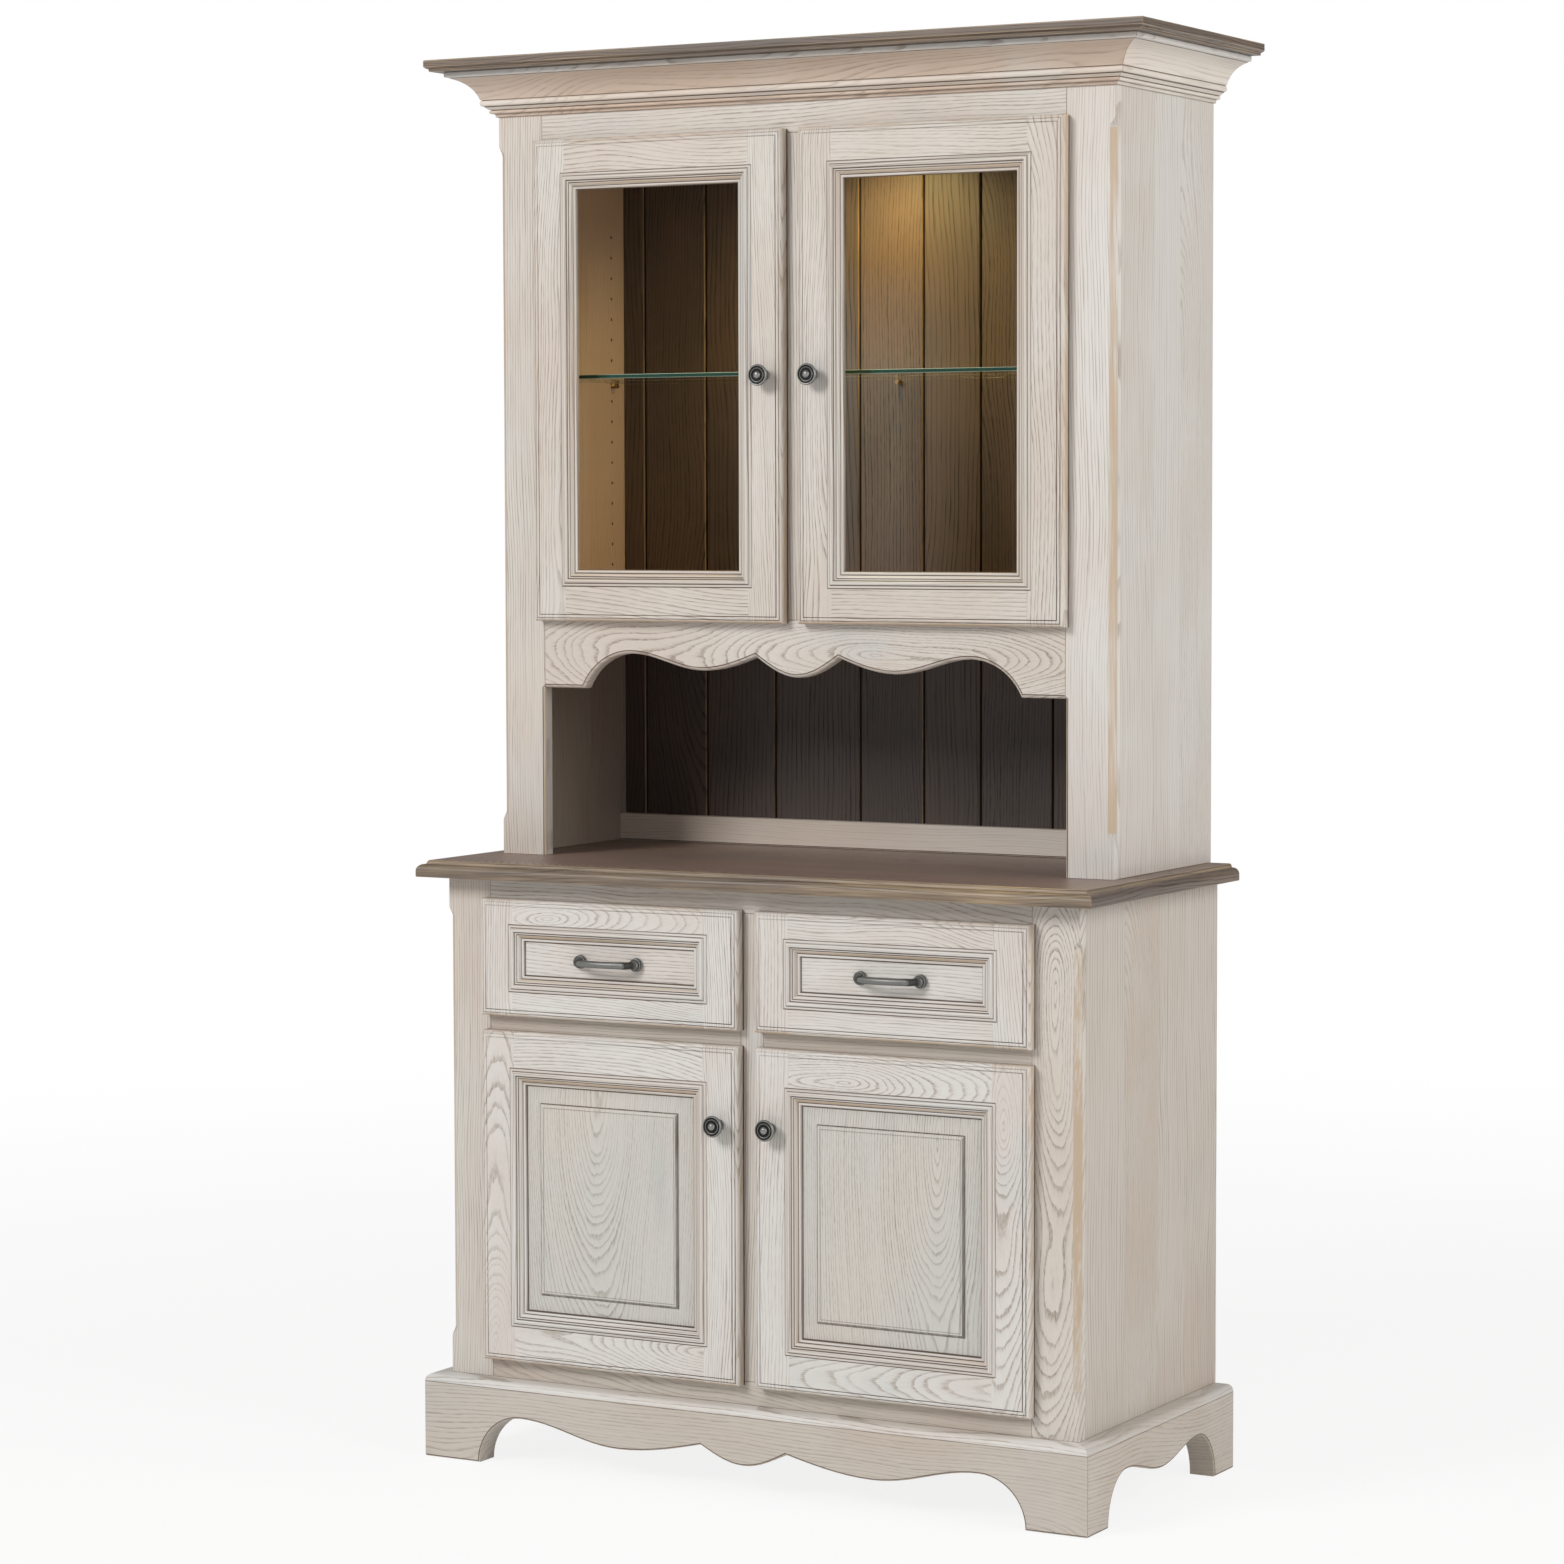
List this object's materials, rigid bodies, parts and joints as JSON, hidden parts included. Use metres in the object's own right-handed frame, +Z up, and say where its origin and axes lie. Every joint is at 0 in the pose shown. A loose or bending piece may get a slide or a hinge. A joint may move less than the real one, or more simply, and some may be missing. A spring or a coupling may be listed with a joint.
{
  "type": "two-piece china cabinet",
  "caption": "Whitewashed two-piece china cabinet: glazed hutch over an open niche, on a base with drawers, panelled doors and a scalloped plinth.",
  "frame": {"origin": "on the floor, in the middle of the footprint", "axes": "+Z up, the front faces -Y, +X to the right seen from the front"},
  "size_m": [1.1842, 0.522, 2.1],
  "materials": {
    "whitewashed_oak": "pickled, open grain, satin",
    "clear_oak": "clear satin",
    "weathered_top": "weathered brown, satin",
    "back_boards": "dark brown, satin",
    "pewter": "aged pewter",
    "hinge_steel": "zinc plated",
    "glass": "clear",
    "lamp": "white"
  },
  "bodies": {
    "cabinet": {"plinth_front": "whitewashed_oak", "plinth_side_left": "whitewashed_oak", "plinth_side_right": "whitewashed_oak", "plinth_back": "whitewashed_oak", "base_side_left": "whitewashed_oak", "base_side_right": "whitewashed_oak", "base_back": "clear_oak", "base_floor": "clear_oak", "base_shelf": "clear_oak", "drawer_deck": "clear_oak", "base_stile_left": "whitewashed_oak", "base_stile_right": "whitewashed_oak", "base_top_rail": "whitewashed_oak", "base_middle_rail": "whitewashed_oak", "base_bottom_rail": "whitewashed_oak", "base_centre_stile": "whitewashed_oak", "countertop": "weathered_top", "hutch_side_left": "whitewashed_oak", "hutch_side_right": "whitewashed_oak", "hutch_stile_left": "whitewashed_oak", "hutch_stile_right": "whitewashed_oak", "hutch_top_rail": "whitewashed_oak", "hutch_centre_stile": "whitewashed_oak", "valance": "whitewashed_oak", "hutch_floor": "whitewashed_oak", "hutch_ceiling": "whitewashed_oak", "hutch_back": "back_boards", "hutch_back_rail": "whitewashed_oak", "crown_moulding": "whitewashed_oak", "cornice_board": "weathered_top", "glass_shelf": "glass", "puck_light": "lamp", "base_hinge_left_lower": "hinge_steel", "base_hinge_left_upper": "hinge_steel", "base_hinge_right_lower": "hinge_steel", "base_hinge_right_upper": "hinge_steel", "hutch_hinge_left_lower": "hinge_steel", "hutch_hinge_left_upper": "hinge_steel", "hutch_hinge_right_lower": "hinge_steel", "hutch_hinge_right_upper": "hinge_steel"},
    "drawer_left": {"drawer_front_left": "whitewashed_oak", "drawer_box_left": "clear_oak", "drawer_pull_left": "pewter"},
    "drawer_right": {"drawer_front_right": "whitewashed_oak", "drawer_box_right": "clear_oak", "drawer_pull_right": "pewter"},
    "base_door_left": {"base_door_frame_left": "whitewashed_oak", "base_door_panel_left": "whitewashed_oak", "base_door_knob_left": "pewter"},
    "base_door_right": {"base_door_frame_right": "whitewashed_oak", "base_door_panel_right": "whitewashed_oak", "base_door_knob_right": "pewter"},
    "hutch_door_left": {"hutch_door_frame_left": "whitewashed_oak", "hutch_door_glass_left": "glass", "hutch_door_knob_left": "pewter"},
    "hutch_door_right": {"hutch_door_frame_right": "whitewashed_oak", "hutch_door_glass_right": "glass", "hutch_door_knob_right": "pewter"}
  },
  "joints": [
    {"name": "drawer_left_slide", "type": "slide", "parent": "cabinet", "child": "drawer_left", "axis": [0, -1, 0], "range_m": [0, 0.3]},
    {"name": "drawer_right_slide", "type": "slide", "parent": "cabinet", "child": "drawer_right", "axis": [0, -1, 0], "range_m": [0, 0.3]},
    {"name": "base_door_left_hinge", "type": "hinge", "parent": "cabinet", "child": "base_door_left", "pos_m": [-0.4548, -0.2244, 0.155], "axis": [0, 0, -1], "range_deg": [0, 105]},
    {"name": "base_door_right_hinge", "type": "hinge", "parent": "cabinet", "child": "base_door_right", "pos_m": [0.4548, -0.2244, 0.155], "axis": [0, 0, 1], "range_deg": [0, 105]},
    {"name": "hutch_door_left_hinge", "type": "hinge", "parent": "cabinet", "child": "hutch_door_left", "pos_m": [-0.441, -0.09, 1.259], "axis": [0, 0, -1], "range_deg": [0, 105]},
    {"name": "hutch_door_right_hinge", "type": "hinge", "parent": "cabinet", "child": "hutch_door_right", "pos_m": [0.441, -0.09, 1.259], "axis": [0, 0, 1], "range_deg": [0, 105]}
  ]
}
